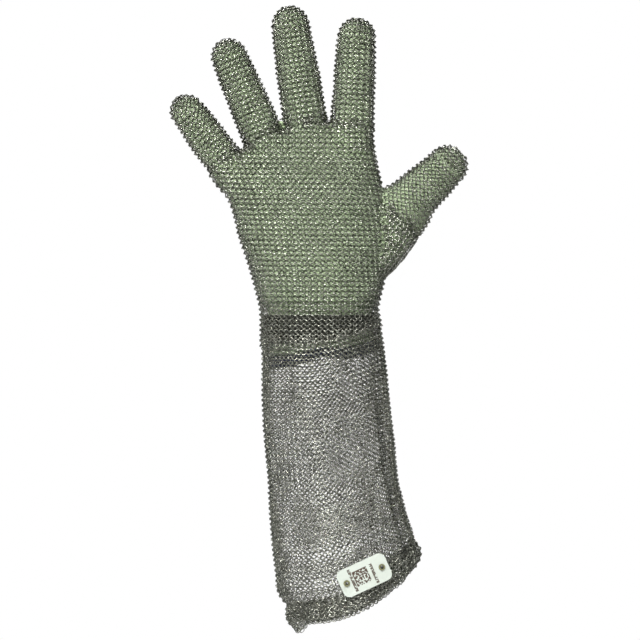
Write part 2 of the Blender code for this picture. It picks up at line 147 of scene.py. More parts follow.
# Hem, wrist and layers
HEM_HALF = (42.7, 33.8)
HEM_MIDDLE = -1.2
HEM_LOW_Z = -16.0
HEM_RISE = 41.0    # how far it rises towards the thumb's side
HEM_CURVE = 2.3    # exponent of that rise
HEM_LOW_TRIM = 2.5    # how much less its lower edge rises
HEM_HEIGHT = 13.0
HEM_GROWTH = 5.0    # how much taller it is at the thumb's side
HEM_END_DIP = 5.5    # and how much of that it loses at the very end
HEM_FOLD_R = 1.8
HEM_CORNER = (-37.0, 3.6, 6.0)    # x, width and drop of the corner that hangs lower
SKIRT_LOW_Z = 159.4
SKIRT_RISE = 12.0
SKIRT_PROUD = 1.0
LINER_EDGE_Z = 146.5
LINER_EDGE_RISE = 12.0
STRAP_HIGH_Z = 178.3
LINER_INSET = 1.95    # the liner's outside under the mesh's outside
LINER_T = 0.9
WRIST_LINER_INSET = 6.2

# Tag
TAG_SIZE = (33.0, 18.0, 1.2)
TAG_LEAN = 24.7    # degrees
TAG_TURN = 5.0    # degrees

rng = np.random.default_rng(41)


# ---------------- curves and sections


def smooth_rows(rows, steps):
    """The rows with steps - 1 rows between each two, on a Catmull-Rom curve."""
    rows = np.array(rows, float)
    padded = np.vstack([2 * rows[0] - rows[1], rows, 2 * rows[-1] - rows[-2]])
    out = []
    for i in range(len(rows) - 1):
        a, b, c, d = padded[i : i + 4]
        for t in np.arange(steps) / steps:
            bend = (2 * a - 5 * b + 4 * c - d) * t**2 + (3 * b - a - 3 * c + d) * t**3
            out.append(0.5 * (2 * b + (c - a) * t + bend))
    return np.array(out + [rows[-1]])


def unit_section(turn):
    """x and y of a section's outline with half sizes of 1. Turn 0 is in front, at -Y."""
    side, front = np.sin(turn), np.cos(turn)
    power = 2 / SQUARENESS
    return np.sign(side) * np.abs(side) ** power, -np.sign(front) * np.abs(front) ** power


def normalise(v):
    return v / np.maximum(np.linalg.norm(v, axis=-1, keepdims=True), 1e-9)


def ease(x, low, high):
    """0 below low, 1 above high, and smooth between."""
    t = np.clip((x - low) / (high - low), 0, 1)
    return t * t * (3 - 2 * t)


def bump(x, centre, width):
    return np.exp(-(((x - centre) / width) ** 2))


def full_turn(count):
    return np.arange(count) * 2 * np.pi / count


def distances(line):
    """How far along a line of points each of them is."""
    steps = np.linalg.norm(np.diff(line, axis=0), axis=1)
    return np.concatenate([[0], np.cumsum(steps)])


def at_distance(wanted, length, line):
    """Points at the wanted distances along a line whose points are at the distances length."""
    return np.stack([np.interp(wanted, length, line[:, k]) for k in range(3)], -1)


def even_loop(loop, count, shift):
    """The indices, as fractions, of count points at equal distances round a closed loop."""
    closed = np.vstack([loop, loop[:1]])
    length = distances(closed)
    wanted = (np.arange(count) + shift) / count * length[-1]
    return np.interp(wanted, length, np.arange(len(closed)))


CUFF_TABLE = smooth_rows(CUFF_ROWS, 8)[::-1]


def cuff_size(z):
    """Left edge, right edge and half depth of the cuff's outside at height z."""
    return [np.interp(z, CUFF_TABLE[:, 0], CUFF_TABLE[:, k]) for k in (1, 2, 3)]


def skirt_low(x):
    """The skirt's lower edge, which rises towards the thumb."""
    return SKIRT_LOW_Z + SKIRT_RISE * np.maximum(0, (x + 30) / 46) ** 1.5


def liner_low(x):
    """The liner's lower edge, which waves and rises towards the thumb."""
    wave = 3.2 * bump(x, -22, 13) - 1.0 * bump(x, 2, 8)
    return LINER_EDGE_Z + wave + LINER_EDGE_RISE * np.maximum(0, (x + 58) / 76) ** 2


def hem_share(x):
    """0 where the hem starts to rise and about 1 at the thumb's side."""
    return np.maximum(0, (x + 33) / 75)


def hem_low(x, y):
    at, width, drop = HEM_CORNER
    corner = drop * bump(x, at, width) * (y < 0)
    return HEM_LOW_Z + (HEM_RISE - HEM_LOW_TRIM) * hem_share(x) ** HEM_CURVE - corner


def hem_high(x):
    share = hem_share(x)
    height = HEM_HEIGHT + HEM_GROWTH * share - HEM_END_DIP * ease(share, 0.80, 1.0)
    return HEM_LOW_Z + HEM_RISE * share**HEM_CURVE + height


# ---------------- digits


OWN_SIDE = 1.13    # a digit's own surface reaches this far sideways, in half widths
SPLIT_SHARE = 0.62    # where a digit's two pieces meet, as a share of the way to its tip hinge


class Digit:
    """A finger or the thumb: its centre line, and its size at a distance s from the root."""

    def __init__(self, name):
        root, tip, self.halves, self.flat, self.split, *ys = DIGITS[name]
        root, tip = np.array(root), np.array(tip)
        self.name = name
        self.reach = np.linalg.norm(tip - root)
        self.length = self.reach + self.halves[2]
        direction = (tip - root) / self.reach
        self.along = np.array([direction[0], 0, direction[1]])
        self.across = np.array([direction[1], 0, -direction[0]])
        self.root = np.array([root[0], ys[0], root[1]])
        self.rise = ys[1] - ys[0]
        self.tip_hinge = self.split * self.length

    def middle(self, s):
        s = np.asarray(s, float)
        lift = self.rise * (np.maximum(s, 0) / self.length) ** 2
        up = np.stack([0 * s, lift, 0 * s], -1)
        return self.root + s[..., None] * self.along + up

    def half(self, s):
        t = np.clip(np.asarray(s, float) / self.reach, 0, 1)
        root, mid, tip = self.halves
        return root * (1 - t) * (1 - 2 * t) + 4 * mid * t * (1 - t) + tip * t * (2 * t - 1)

    def side(self, turn):
        """The unit direction out of the centre line at an angle; turn 0 is in front."""
        turn = np.asarray(turn, float)[..., None]
        return np.sin(turn) * self.across - np.cos(turn) * np.array([0, 1.0, 0])

    def place(self, points):
        """Distance from the root along the digit, and sideways in half widths."""
        rel = points - self.root
        s = rel @ self.along
        return s, np.abs(rel @ self.across) / self.half(s)

    def owns(self, points):
        s, side = self.place(points)
        return (s > 0) & (side < OWN_SIDE)


DIGIT_LIST = [Digit(name) for name in ("middle", "ring", "index", "pinky", "thumb")]


# ---------------- mesh makers


def add_object(name, data):
    ob = bpy.data.objects.new(name, data)
    bpy.context.scene.collection.objects.link(ob)
    return ob


def new_mesh(name, points, quads):
    """A smooth mesh object from points in mm and rows of four point numbers."""
    quads = np.asarray(quads, np.int32)
    mesh = bpy.data.meshes.new(name)
    mesh.vertices.add(len(points))
    mesh.vertices.foreach_set("co", (np.asarray(points) * MM).astype(np.float32).ravel())
    mesh.loops.add(quads.size)
    mesh.loops.foreach_set("vertex_index", quads.ravel())
    mesh.polygons.add(len(quads))
    mesh.polygons.foreach_set("loop_start", np.arange(0, quads.size, 4, dtype=np.int32))
    mesh.update(calc_edges=True)
    mesh.shade_smooth()
    return add_object(name, mesh)


def grid_quads(rows, columns, close_rows=False):
    """Quads of a grid whose columns close on themselves, and whose rows may too."""
    r, c = np.meshgrid(np.arange(rows - (not close_rows)), np.arange(columns), indexing="ij")
    above, beside = (r + 1) % rows, (c + 1) % columns
    corners = [r * columns + c, r * columns + beside, above * columns + beside, above * columns + c]
    return np.stack(corners, -1).reshape(-1, 4)


def read(items, what, width, kind=np.float32):
    """A property of a mesh's parts as rows of the given width."""
    values = np.empty(len(items) * width, kind)
    items.foreach_get(what, values)
    return values.reshape(-1, width)


def with_modifiers(ob):
    """A new mesh, which is the object's mesh with its modifiers applied."""
    return bpy.data.meshes.new_from_object(ob.evaluated_get(bpy.context.evaluated_depsgraph_get()))


def drop(ob):
    mesh = ob.data
    bpy.data.objects.remove(ob)
    bpy.data.meshes.remove(mesh)


# ---------------- the form of the gloved hand


SKIRT_ROWS_Z = (140.0, 150.0, 160.0, 170.0, 177.0)
SKIRT_FLARE_Z = (160.0, 180.0)    # the skirt is fully proud below these and not at all above
DIGIT_START = -15.0    # a digit's loft starts this far inside the hand
DIGIT_STEPS = 20
TIP_ANGLES = np.radians([12, 26, 40, 54, 67, 78, 86])


def hand_loops(turn):
    """Sections from inside the cuff's top to the finger roots; the skirt stands out a little."""
    lower = []
    for z in SKIRT_ROWS_Z:
        left, right, depth = cuff_size(z)
        out = SKIRT_PROUD * (1 - ease(z, *SKIRT_FLARE_Z))
        lower.append((left - out, z, right + out, z, 0.0, depth + out))
    upper = [(*left, *right, bow, depth) for left, right, bow, depth in HAND_ROWS]
    x, y = unit_section(turn)
    share = (x + 1) / 2
    loops = []
    for lx, lz, rx, rz, bow, depth in smooth_rows(lower + upper, 3):
        z = lz + (rz - lz) * share + bow * (1 - x**2)
        loops.append(np.stack([lx + (rx - lx) * share, depth * y, z], -1))
    return loops


def gusset_lines(table):
    """Centre, across, half width and half depth along the thumb's gusset."""
    flat = [(x, y, z, dx, dz, w, d) for (x, z), y, (dx, dz), w, d in table]
    rows = smooth_rows(flat, 8)
    centre = rows[:, :3]
    across = normalise(np.stack([rows[:, 4], 0 * rows[:, 0], -rows[:, 3]], -1))
    return centre, across, rows[:, 5], rows[:, 6]


def gusset_loops(turn):
    x, y = unit_section(turn)
    loops = []
    for centre, across, wide, deep in zip(*gusset_lines(GUSSET_ROWS + GUSSET_END_ROWS)):
        loops.append(centre + np.outer(x * wide, across) + np.outer(y * deep, (0, 1, 0)))
    return loops


def digit_loops(digit, turn):
    x, y = unit_section(turn)
    loops = []
    stations = [(s, 0.0) for s in np.linspace(DIGIT_START, digit.reach, DIGIT_STEPS)]
    for s, angle in stations + [(digit.reach, angle) for angle in TIP_ANGLES]:
        half = digit.half(s) * math.cos(angle)
        centre = digit.middle(s) + digit.half(s) * math.sin(angle) * digit.along
        loops.append(
            centre + np.outer(x * half, digit.across) + np.outer(y * half * digit.flat, (0, 1, 0))
        )
    return loops


def close_end(bm, ring, flip):
    """Closes a loft's end with strips from front to back, which follow the end's bow."""
    count = len(ring)
    for i in range(-count // 4, count // 4):
        behind = [ring[(count // 2 - i - 1) % count], ring[(count // 2 - i) % count]]
        strip = list(dict.fromkeys([ring[i], ring[i + 1]] + behind))
        bm.faces.new(strip[::-1] if flip else strip)


def loft_into(bm, loops):
    """Adds a closed loft through the loops to a bmesh."""
    rings = [[bm.verts.new(p) for p in loop] for loop in loops]
    for low, high in zip(rings, rings[1:]):
        for i in range(len(low)):
            j = (i + 1) % len(low)
            bm.faces.new((low[i], low[j], high[j], high[i]))
    close_end(bm, rings[0], True)
    close_end(bm, rings[-1], False)


def make_form():
    """The gloved hand's outside as points, normals and quads: lofts joined by a voxel remesh."""
    turn = full_turn(48)
    bm = bmesh.new()
    loft_into(bm, hand_loops(turn))
    loft_into(bm, gusset_loops(turn))
    for digit in DIGIT_LIST:
        loft_into(bm, digit_loops(digit, turn))
    mesh = bpy.data.meshes.new("form")
    bm.to_mesh(mesh)
    bm.free()
    ob = add_object("form", mesh)
    remesh = ob.modifiers.new("join", "REMESH")
    remesh.mode = "VOXEL"
    remesh.voxel_size = VOXEL
    smooth = ob.modifiers.new("soften", "SMOOTH")
    smooth.factor = SOFTENING
    smooth.iterations = SOFTENING_ROUNDS
    done = with_modifiers(ob)
    points = read(done.vertices, "co", 3).astype(float)
    normals = read(done.vertex_normals, "vector", 3).astype(float)
    quads = read(done.loops, "vertex_index", 1, np.int32)
    bpy.data.meshes.remove(done)
    drop(ob)
    lumps = np.array([noise.noise(Vector(p / LUMP_SPACING)) for p in points])
    grown = points + normals * (lumps[:, None] * LUMP_HEIGHT + FULLNESS)
    return grown, normals, quads.reshape(-1, 4)


FORM_POINTS, FORM_NORMALS, FORM_QUADS = make_form()
FORM = BVHTree.FromPolygons(FORM_POINTS.tolist(), FORM_QUADS.tolist())


def on_form(points, reach):
    """The form's surface nearest to each point, its normal, and whether it is within reach."""
    found = [FORM.find_nearest(Vector(p)) for p in points]
    at = np.array([f[0] for f in found])
    out = np.array([f[1] for f in found])
    return at, out, np.array([f[3] for f in found]) < reach


# ---------------- rings


class Rings:
    """Ring places: centre, outward normal, direction across the rows, and each row's lean."""

    def __init__(self, at, out, up, lean):
        self.at, self.out, self.lean = at, out, lean
        self.up = normalise(up - out * np.sum(up * out, -1, keepdims=True))

    def only(self, keep):
        return Rings(self.at[keep], self.out[keep], self.up[keep], self.lean[keep])

    def __add__(self, other):
        parts = zip(self.parts(), other.parts())
        return Rings(*[np.concatenate(pair) for pair in parts])

    def parts(self):
        return self.at, self.out, self.up, self.lean

    def apart_from(self, others):
        """The rings that aren't crowded by another panel's rings."""
        tree = KDTree(len(others.at))
        for i, p in enumerate(others.at):
            tree.insert(p, i)
        tree.balance()
        return self.only(np.array([tree.find(p)[2] > CROWDED for p in self.at], bool))


def ring_mesh(name, rings):
    """Every ring as its own small torus."""
    count = len(rings.at)
    lean = np.radians(RING_LEAN * rings.lean + rng.normal(0, LEAN_JITTER, count))[:, None]
    twist = np.radians(rng.normal(0, LEAN_JITTER, count))[:, None]
    row = np.cross(rings.up, rings.out)
    row = np.cos(twist) * row + np.sin(twist) * rings.up
    up = np.cross(rings.out, row)
    axis = np.cos(lean) * rings.out + np.sin(lean) * up
    other = np.cross(axis, row)
    at = rings.at + rng.normal(0, PLACE_JITTER, (count, 3))
    wire = WIRE / 2
    around, section = full_turn(RING_SIDES), full_turn(WIRE_SIDES)
    spoke = np.cos(around)[:, None] * row[:, None] + np.sin(around)[:, None] * other[:, None]
    reach = RING_OUTER / 2 - wire + wire * np.cos(section)
    points = at[:, None, None] + spoke[:, :, None] * reach[:, None]
    points = points + axis[:, None, None] * (wire * np.sin(section))[:, None]
    quads = grid_quads(RING_SIDES, WIRE_SIDES, close_rows=True)
    starts = np.arange(count)[:, None, None] * RING_SIDES * WIRE_SIDES
    return new_mesh(name, points.reshape(-1, 3), (quads[None] + starts).reshape(-1, 4))


FIRST_DIGIT_ROW = -0.4
LAST_DOME_ANGLE = 1.5    # radians, where a quarter turn would be the very tip
CROWN_ANGLE = 1.2    # beyond it the rows face each other across the tip
DIGIT_REACH = 1.3    # how far a finger's rays look for its surface, in half widths


class Found:
    """Ring places where rays meet the form. The rows' numbers give their lean."""

    def __init__(self):
        self.places = []

    def look(self, start, ray, reach, up, number, facing=-math.inf):
        """Keeps where a ray meets the form, if that faces the ray's start by more than facing."""
        place, normal, _, _ = FORM.ray_cast(Vector(start), Vector(ray), reach)
        if place is not None and -normal.dot(Vector(ray)) > facing:
            self.places.append((place, normal, up, 1 - 2 * (number % 2)))

    def rings(self):
        return sunk(*zip(*self.places))


def digit_rings(digit):
    """Rows of rings round a finger, and closing rows over its tip."""
    around = round(2 * np.pi * digit.halves[1] * (1 + digit.flat) / 2 / RING_PITCH)
    tube = np.arange(FIRST_DIGIT_ROW, digit.reach, ROW_PITCH)
    dome = np.arange(1, 10) * ROW_PITCH / (digit.halves[2] - RING_DEPTH)
    rows = [(s, 0.0) for s in tube] + [(digit.reach, a) for a in dome if a < LAST_DOME_ANGLE]
    found = Found()
    for number, (s, angle) in enumerate(rows):
        count = max(4, round(around * math.cos(angle)))
        start = digit.middle(s)
        limit = DIGIT_REACH * digit.half(s)
        for turn in full_turn(count) + (number % 2) * np.pi / count:
            ray = math.cos(angle) * digit.side(turn) + math.sin(angle) * digit.along
            up = digit.along if angle < CROWN_ANGLE else -digit.side(turn)
            found.look(start, ray, limit, up, number)
    return found.rings()


def sunk(at, out, up, lean):
    """Rings whose centres are RING_DEPTH under the surface points."""
    at, out = np.array(at, float), np.array(out, float)
    return Rings(at - out * RING_DEPTH, out, np.array(up, float), np.array(lean, float))


GUSSET_REACH = 34.0
GUSSET_SPREAD = 1.15    # turns the rays a little towards the gusset's sides
GUSSET_BORDER_X = 10.5
GUSSET_BORDER_BOW = (8.0, 221.0, 22.0)    # how far the border bows, at which z and how widely
GUSSET_PALM_REACH = 10.0    # how much further the gusset reaches on the palm side
GUSSET_Z = (203.0, 262.0)


def gusset_rings():
    """The thumb's gusset, whose rows run along the thumb instead of round it."""
    centre, across, wide, deep = gusset_lines(GUSSET_ROWS)
    length = distances(centre)
    mean = 2 * np.pi * np.mean(wide + deep) / 2
    around = 2 * round(mean / ROW_PITCH / 2)
    found = Found()
    for number, turn in enumerate(full_turn(around)):
        first = 2 + (number % 2) * RING_PITCH / 2
        for s in np.arange(first, length[-1] + 1, RING_PITCH):
            start, side = at_distance(s, length, centre), at_distance(s, length, across)
            ray = np.sin(turn) * side * GUSSET_SPREAD - np.cos(turn) * np.array([0, 1.0, 0])
            up = np.cos(turn) * side + np.sin(turn) * np.array([0, 1.0, 0])
            found.look(start, ray, GUSSET_REACH, up, number)
    rings = found.rings()
    return rings.only(in_gusset(rings.at))


def in_gusset(points):
    """Where the gusset's panel is: beyond a line that bows towards the thumb."""
    x, y, z = points.T
    bow, at, width = GUSSET_BORDER_BOW
    border = GUSSET_BORDER_X + bow * bump(z, at, width) - GUSSET_PALM_REACH * ease(y, -4, 8)
    low, high = GUSSET_Z
    return (x > border) & (z > low + 0.5 * np.maximum(0, 17 - x)) & (z < high)


OUTLINE_SPAN = (-112.0, 76.0, 0.3)    # from, to and step along X


def form_outline(z):
    """The form's closed outline at height z, over the front from +X to -X and back over the palm."""
    xs = np.arange(*OUTLINE_SPAN)
    sides = []
    for start, ray in ((-90.0, 1.0), (90.0, -1.0)):
        hits = [FORM.ray_cast(Vector((x, start, z)), Vector((0, ray, 0)))[0] for x in xs]
        sides.append(np.array([h for h in hits if h is not None]))
    return np.vstack([sides[0][::-1], sides[1], sides[0][-1:]]), len(sides[0])


def hand_middle(z):
    middles = np.array([((a[0] + b[0]) / 2, (a[1] + b[1]) / 2) for a, b, _, _ in HAND_ROWS])
    return np.interp(z, middles[:, 1], middles[:, 0])


HAND_TOP_Z = 305.0
FORM_NEAR = 0.8    # a row's point further than this from the form bridges a gap in it


def hand_rings():
    """Level rows over the back and palm, from the skirt's edge to the finger roots."""
    points, lean = [], []
    heights = np.arange(SKIRT_LOW_Z + 0.5, HAND_TOP_Z, ROW_PITCH)
    for number, z in enumerate(heights):
        outline, front = form_outline(z)
        length = distances(outline)
        start = length[np.argmin(np.abs(outline[:front, 0] - hand_middle(z)))]
        shift = (number % 2) * RING_PITCH / 2
        first = -math.floor((start + shift) / RING_PITCH)
        last = math.floor((length[-1] - start - shift) / RING_PITCH)
        wanted = start + shift + np.arange(first, last + 1) * RING_PITCH
        row = at_distance(wanted, length, outline)
        points.append(row)
        lean.append(np.full(len(row), 1 - 2 * (number % 2)))
    at, out, near = on_form(np.vstack(points), FORM_NEAR)
    up = np.tile((0, 0, 1.0), (len(at), 1))
    rings = sunk(at, out, up, np.concatenate(lean)).only(near)
    return rings.only(rings.at[:, 2] > skirt_low(rings.at[:, 0]))


WEB_REACH = 26.0    # from here above the finger roots the rays look down into the webs
WEB_HALF = (6.4, 14.0)    # half a web's length and half its depth
WEB_PITCHES = (1.4, 2.9)    # the rings crowd together in the webs
WEB_FACING = 0.2    # least cosine between a web ring's normal and the fingers' direction
WEB_HOLLOW = 1.6    # how much deeper the liner lies there
WEB_HOLLOW_AT = 3.0    # how far above the finger roots that is deepest
WEB_HOLLOW_WIDTH = 7.0


def web_places():
    """For each two neighbouring fingers, the point between their roots and their direction."""
    digits = {digit.name: digit for digit in DIGIT_LIST}
    for names in (("index", "middle"), ("middle", "ring"), ("ring", "pinky")):
        right, left = (digits[name] for name in names)
        yield (right.root + left.root) / 2, normalise(right.along + left.along)


def web_rings():
    """Rings over the saddles between the fingers, which face the fingertips."""
    found = Found()
    for middle, ahead in web_places():
        side = np.cross((0, 1.0, 0), ahead)
        for number, shift in enumerate(np.arange(-WEB_HALF[0], WEB_HALF[0] + 0.1, WEB_PITCHES[0])):
            first = (number % 2) * WEB_PITCHES[1] / 2 - WEB_HALF[1]
            for y in np.arange(first, WEB_HALF[1], WEB_PITCHES[1]):
                start = middle + side * shift + np.array([0, y, 0]) + ahead * WEB_REACH
                found.look(start, -ahead, 2 * WEB_REACH, side, number, WEB_FACING)
    return found.rings()


# ---------------- cuff and hem surfaces


START_Z = 165.0    # where the search for a row's height starts
CUFF_FOLDS = ((1.5, 1.28, 0.13), (-2.2, 1.03, 0.12), (0.8, 0.80, 0.14))    # out, turn, width


def cuff_folds(turn, z):
    """How far the cuff stands out from its smooth shape: soft flutes and a lengthwise fold."""
    low = 1 - ease(z, 95, 165)
    wrapped = np.mod(turn, 2 * np.pi)
    folds = sum(out * bump(wrapped, at, width) for out, at, width in CUFF_FOLDS)
    flutes = 0.45 * np.sin(7 * turn + z / 31) + 0.3 * np.sin(11 * turn - z / 19 + 1.0)
    return folds * low + flutes * ease(z, -20, 20)


def cuff_point(turn, z, inset=0.0):
    """A point of the cuff's outside, moved in by inset."""
    left, right, depth = cuff_size(z)
    x, y = unit_section(turn)
    grow = cuff_folds(turn, z) - inset
    wide, deep = (right - left) / 2 + grow, depth + grow
    return np.stack([(left + right) / 2 + wide * x, deep * y, z + 0 * turn], -1)


def surface_rings(point, rows, per_row):
    """Rings on point(turn, row), a surface of closed rows, at equal distances round each row."""
    fine, small = full_turn(720), 1e-3
    at, out, up, lean = [], [], [], []
    for number in range(rows):
        loop = point(fine, number)
        turn = even_loop(loop, per_row, (number % 2) / 2) * fine[1]
        place = point(turn, number)
        sideways = point(turn + small, number) - place
        upward = point(turn, max(number - 0.1, 0)) - point(turn, number + 0.1)
        at.append(place)
        out.append(normalise(np.cross(sideways, upward)))
        up.append(upward)
        lean.append(np.full(per_row, CUFF_LEAN * (1 - 2 * (number % 2))))
    return sunk(np.vstack(at), np.vstack(out), np.vstack(up), np.concatenate(lean))


CUFF_LINE_TOP = 5.0    # the cuff's mesh runs on this far under the skirt
CUFF_LINE_LOW = 5.0    # and this far behind the hem
CUFF_RINGS_ROUND = 70
CUFF_ROW_COUNT = 107


def cuff_row_point(turn, number):
    """The cuff's rows fan out from the wrist's line to the hem's, which is steeper."""
    share = number / (CUFF_ROW_COUNT - 1)
    z = START_Z * (1 - share) + 0 * turn
    for _ in range(3):
        x = cuff_point(turn, z)[..., 0]
        top = skirt_low(x) + CUFF_LINE_TOP
        low = hem_high(x) - CUFF_LINE_LOW
        z = top + (low - top) * share
    return cuff_point(turn, z)


HEM_ROWS_OUT = 8
HEM_ROWS_FOLD = 1
HEM_ROWS_IN = 7
HEM_FOLD_SAG = 0.7
HEM_RINGS_ROUND = 76
HEM_ROLL = 1.5    # how far the hem's top and bottom rows turn in
HEM_TUCK = 3.2    # how much further its top row turns in at the thumb's side
HEM_TUCK_LOW = 1.2    # and its bottom row
HEM_THUMB_X = (22.0, 41.0)    # where that tuck starts and is full
HEM_FLATNESS = 4.0    # exponent of the outside's roll
HEM_THUMB_FLATNESS = 1.7    # how much less it is at the thumb's side
HEM_FOLD_RISE = 1.6    # the fold's start above the lower edge


def hem_row_point(turn, number):
    """The hem's fold: down the outside, round the edge and up the inside."""
    x, y = unit_section(turn)
    wide, deep = HEM_HALF
    flutes = 0.5 * np.sin(9 * turn + 0.7) + 0.35 * np.sin(17 * turn)
    end = ease(wide * x + HEM_MIDDLE, *HEM_THUMB_X)
    flatness = HEM_FLATNESS - HEM_THUMB_FLATNESS * end
    top_turn, low_turn = HEM_ROLL + HEM_TUCK * end, HEM_ROLL + HEM_TUCK_LOW * end
    across = (wide - low_turn) * x + HEM_MIDDLE
    low, high = hem_low(across, y), hem_high(wide * x + HEM_MIDDLE)
    start = low + HEM_FOLD_RISE
    if number <= HEM_ROWS_OUT:
        share = 2 * number / HEM_ROWS_OUT - 1
        inset = (top_turn if share < 0 else low_turn) * abs(share) ** flatness
        z = high + (start - high) * number / HEM_ROWS_OUT
    elif number < HEM_ROWS_OUT + HEM_ROWS_FOLD + 1:
        angle = (number - HEM_ROWS_OUT) / (HEM_ROWS_FOLD + 1) * np.pi
        inset = low_turn + HEM_FOLD_R * (1 - math.cos(angle))
        z = start - HEM_FOLD_SAG * math.sin(angle)
    else:
        inset = low_turn + 2 * HEM_FOLD_R
        share = (number - HEM_ROWS_OUT - HEM_ROWS_FOLD - 1) / HEM_ROWS_IN
        z = start + (high - 1.0 - start) * share
    grow = flutes - inset
    return np.stack([(wide + grow) * x + HEM_MIDDLE, (deep + grow) * y, z], -1)


def hem_rings():
    """The rows of the outside, the fold and the inside, with both ends counted."""
    rows = HEM_ROWS_OUT + HEM_ROWS_FOLD + HEM_ROWS_IN + 2
    return surface_rings(hem_row_point, rows, HEM_RINGS_ROUND)


# ---------------- materials


class Nodes:
    """A material's node tree, with short calls for its nodes."""

    def __init__(self, name):
        self.material = bpy.data.materials.new(name)
        self.material.use_nodes = True
        self.tree = self.material.node_tree
        self.shader = self.tree.nodes["Principled BSDF"]

    def add(self, kind, **inputs):
        node = self.tree.nodes.new("ShaderNode" + kind)
        for key, value in inputs.items():
            self.feed(node.inputs[key.replace("_", " ")], value)
        return node

    def feed(self, socket, value):
        if isinstance(value, bpy.types.NodeSocket):
            self.tree.links.new(value, socket)
        else:
            socket.default_value = value

    def maths(self, operation, *values):
        node = self.tree.nodes.new("ShaderNodeMath")
        node.operation = operation
        for socket, value in zip(node.inputs, values):
            self.feed(socket, value)
        return node.outputs[0]

    def blend_colours(self, share, first, second):
        node = self.tree.nodes.new("ShaderNodeMix")
        node.data_type = "RGBA"
        for socket, value in zip([node.inputs[i] for i in (0, 6, 7)], (share, first, second)):
            self.feed(socket, value)
        return node.outputs[2]

    def span(self, value, low, high, to_low, to_high):
        """value from low..high carried over to to_low..to_high, and held there beyond."""
        node = self.tree.nodes.new("ShaderNodeMapRange")
        for socket, number in zip(node.inputs, (value, low, high, to_low, to_high)):
            self.feed(socket, number)
        return node.outputs[0]

    def noise(self, vector, scale, detail=3.0):
        node = self.add("TexNoise", Vector=vector, Scale=scale, Detail=detail)
        return node.outputs["Fac"]

    def place(self):
        return self.tree.nodes.new("ShaderNodeTexCoord").outputs["Object"]

    def raise_by(self, height, distance, strength=1.0):
        node = self.add("Bump", Height=height, Distance=distance, Strength=strength)
        self.feed(self.shader.inputs["Normal"], node.outputs["Normal"])

    def set(self, **inputs):
        for key, value in inputs.items():
            self.feed(self.shader.inputs[key.replace("_", " ")], value)


def steel_material():
    """Tumbled stainless wire: each ring a little different, duller in patches."""
    m = Nodes("stainless_rings")
    place = m.place()
    each = m.tree.nodes.new("ShaderNodeNewGeometry").outputs["Random Per Island"]
    patches = m.noise(place, 55.0)
    grain = m.noise(place, 900.0)
    tone = m.maths("ADD", m.maths("MULTIPLY", each, 0.55), m.maths("MULTIPLY", patches, 0.45))
    colour = m.blend_colours(tone, (0.12, 0.125, 0.10, 1), (0.38, 0.385, 0.335, 1))
    m.set(Base_Color=colour, Metallic=1.0, Roughness=m.span(grain, 0.3, 0.7, 0.20, 0.34))
    m.raise_by(grain, 0.00004, 0.35)
    return m.material


def knit_material():
    """Sage yarn in a plain knit: V stitches in courses, from the stitch attribute in mm. The low
    hollows between stitches get the dark colour as a painted shade; the fuzz is the yarn's random
    tone.
    """
    m = Nodes("sage_knit_painted_stitch_shade")
    stitch = m.add("Attribute")
    stitch.attribute_name = "stitch"
    split = m.add("SeparateXYZ", Vector=stitch.outputs["Vector"])
    across, along = split.outputs[0], split.outputs[1]
    wale = m.maths("PINGPONG", m.maths("DIVIDE", across, 1.5), 0.5)
    leg = m.maths("SINE", m.maths("MULTIPLY", wale, 2 * math.pi))
    slant = m.maths("MULTIPLY", wale, 1.1)
    course = m.maths("FRACT", m.maths("ADD", m.maths("DIVIDE", along, 1.05), slant))
    strand = m.maths("SINE", m.maths("MULTIPLY", course, math.pi))
    height = m.maths("MULTIPLY", m.maths("POWER", leg, 0.5), strand)
    fuzz = m.noise(m.place(), 1500.0)
    patches = m.noise(m.place(), 60.0)
    # The stitch height paints shade into the hollows between stitches (deep is that painted shade),
    # and the fuzz adds the yarn's random tone.
    tone = m.maths("ADD", m.maths("MULTIPLY", height, 0.65), m.maths("MULTIPLY", fuzz, 0.35))
    deep, light = (0.145, 0.205, 0.095, 1), (0.56, 0.70, 0.42, 1)
    colour = m.blend_colours(tone, deep, light)
    colour = m.blend_colours(m.span(patches, 0.35, 0.65, 0.0, 0.35), colour, (0.36, 0.43, 0.27, 1))
    m.set(Base_Color=colour, Roughness=m.span(fuzz, 0.2, 0.8, 0.78, 0.98))
    m.shader.inputs["Sheen Weight"].default_value = 0.25
    m.raise_by(m.maths("ADD", height, m.maths("MULTIPLY", fuzz, 0.3)), 0.0005)
    return m.material


def thread_material(name, dark, light):
    """Twisted thread or woven tape: fine crossing ribs, whose grooves get the dark colour as a painted
    shade, with the fuzz as random tone.
    """
    m = Nodes(name)
    place = m.place()
    ribs = m.add("TexWave", Vector=place, Scale=260.0, Distortion=1.5).outputs["Fac"]
    fuzz = m.noise(place, 1300.0)
    # The rib tone paints shade into the grooves between the ribs, times the yarn's random fuzz.
    tone = m.maths("MULTIPLY", ribs, fuzz)
    m.set(Base_Color=m.blend_colours(tone, dark, light), Roughness=m.span(fuzz, 0.2, 0.8, 0.7, 0.95))
    m.raise_by(tone, 0.0003)
    return m.material


def plastic_material():
    m = Nodes("tag_plastic")
    place = m.place()
    cloud = m.noise(place, 90.0)
    grain = m.noise(place, 2500.0)
    scuffs = m.add("TexNoise", Vector=place, Scale=240.0, Detail=6.0, Distortion=2.0).outputs["Fac"]
    colour = m.blend_colours(cloud, (0.42, 0.46, 0.405, 1), (0.48, 0.52, 0.465, 1))
    worn = m.span(scuffs, 0.60, 0.72, 0.0, 0.5)
    colour = m.blend_colours(worn, colour, (0.34, 0.37, 0.31, 1))
    m.set(Base_Color=colour, Roughness=m.span(scuffs, 0.3, 0.7, 0.34, 0.55))
    m.raise_by(grain, 0.00003, 0.4)
    return m.material


